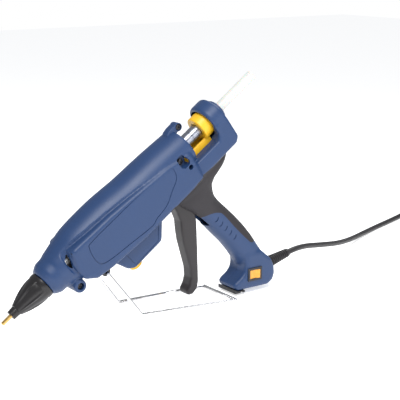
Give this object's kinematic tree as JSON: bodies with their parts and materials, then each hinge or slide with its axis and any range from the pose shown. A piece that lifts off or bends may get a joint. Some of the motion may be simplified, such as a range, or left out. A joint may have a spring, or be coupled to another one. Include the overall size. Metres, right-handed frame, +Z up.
{
  "type": "glue gun",
  "caption": "Corded hot-melt glue gun with a long trigger, soft grip, see-through feed window, fold-down wire stand, rocker switch and a coiled mains lead.",
  "frame": {"origin": "centre of the bottom of the box around the gun and its stand, on the floor it stands on; the free lead is left out", "axes": "+X from the nozzle towards the handle's back and the lead, +Y across the gun to its right-hand side as held, +Z up; the barrel leans back by the angle the stand holds it at"},
  "size_m": [0.8473, 0.208, 0.2637],
  "materials": {
    "housing": "satin moulded plastic with a fine texture",
    "rubber": "matt soft-touch rubber",
    "plastic": "satin black plastic",
    "sleeve": "glossy heat-resistant silicone-coated plastic",
    "steel": "bright zinc-plated steel",
    "brass": "turned brass",
    "aluminium": "cast and machined",
    "yellow": "satin moulded plastic",
    "amber": "translucent glossy plastic",
    "silicone": "heat-resistant silicone",
    "board": "lacquered circuit board",
    "ceramic": "unglazed ceramic",
    "glue": "translucent hot-melt glue",
    "lead": "sleeved wire"
  },
  "bodies": {
    "housing": {"coil_tie": "plastic", "control_board": "board", "cord": "rubber", "cord_coil": "rubber", "cord_tail": "rubber", "front_screw": "steel", "front_support": "ceramic", "guide_tube": "steel", "heater_lead": "lead", "inlet_collar": "housing", "inlet_seal": "silicone", "left_grip": "rubber", "left_heater": "ceramic", "left_housing": "housing", "melt_chamber": "aluminium", "nozzle": "brass", "nozzle_sleeve": "sleeve", "plug_body": "rubber", "plug_pin_left": "brass", "plug_pin_right": "brass", "potentiometer": "plastic", "rear_screw": "steel", "rear_support": "plastic", "right_grip": "rubber", "right_heater": "ceramic", "right_housing": "housing", "riser_lead": "lead", "side_screw": "steel", "small_side_screw": "steel", "spring_post": "steel", "stand_bracket": "plastic", "stand_clip": "plastic", "strain_relief": "rubber", "supply_lead": "lead", "switch_body": "plastic", "switch_lead": "lead", "temperature_sensor": "ceramic", "terminal_block": "plastic", "thermal_cutout": "ceramic", "top_screw": "steel", "triac": "plastic", "trigger_pivot_pin": "steel", "trigger_spring": "steel", "valve_spring": "steel"},
    "trigger": {"trigger": "plastic", "drive_pin": "steel"},
    "carriage": {"feed_carriage": "yellow"},
    "clamp": {"clamp_plate": "steel"},
    "stick": {"glue_stick": "glue"},
    "stand": {"stand_wire": "steel"},
    "power_rocker": {"switch_rocker": "amber"},
    "dial": {"temperature_dial": "yellow"},
    "valve": {"valve_ball": "steel"}
  },
  "joints": [
    {"name": "trigger_pull", "type": "hinge", "parent": "housing", "child": "trigger", "pos_m": [0.03189, 0, 0.12892], "axis": [0, -1, 0], "range_deg": [0, 18], "stiffness_Nm_per_rad": 0.5, "springref_deg": -17.19},
    {"name": "feed_slide", "type": "slide", "parent": "housing", "child": "carriage", "axis": [-0.808, 0, -0.5892], "range_m": [0, 0.0098]},
    {"name": "clamp_tilt", "type": "hinge", "parent": "carriage", "child": "clamp", "pos_m": [0.07407, 0, 0.20126], "axis": [0, 1, 0], "range_deg": [0, 2]},
    {"name": "stick_feed", "type": "slide", "parent": "housing", "child": "stick", "axis": [-0.808, 0, -0.5892], "range_m": [-0.15, 0.088]},
    {"name": "stand_fold", "type": "hinge", "parent": "housing", "child": "stand", "pos_m": [-0.07849, 0, 0.0639], "axis": [0, 1, 0], "range_deg": [0, 95]},
    {"name": "power_switch", "type": "hinge", "parent": "housing", "child": "power_rocker", "pos_m": [0.1264, -0.0165, 0.0235], "axis": [0, 0, 1], "range_deg": [0, 14]},
    {"name": "temperature_turn", "type": "hinge", "parent": "housing", "child": "dial", "pos_m": [-0.03103, 0, 0.06076], "axis": [-0.5892, 0, 0.808], "range_deg": [-135, 135]},
    {"name": "valve_lift", "type": "slide", "parent": "housing", "child": "valve", "axis": [-0.808, 0, -0.5892], "range_m": [0, 0.001], "stiffness_N_per_m": 300, "springref_m": -0.003}
  ],
  "couplings": [
    {"joint": "feed_slide", "follows": "trigger_pull", "m_per_rad": 0.03087},
    {"joint": "clamp_tilt", "follows": "trigger_pull", "ratio": 0.11}
  ]
}
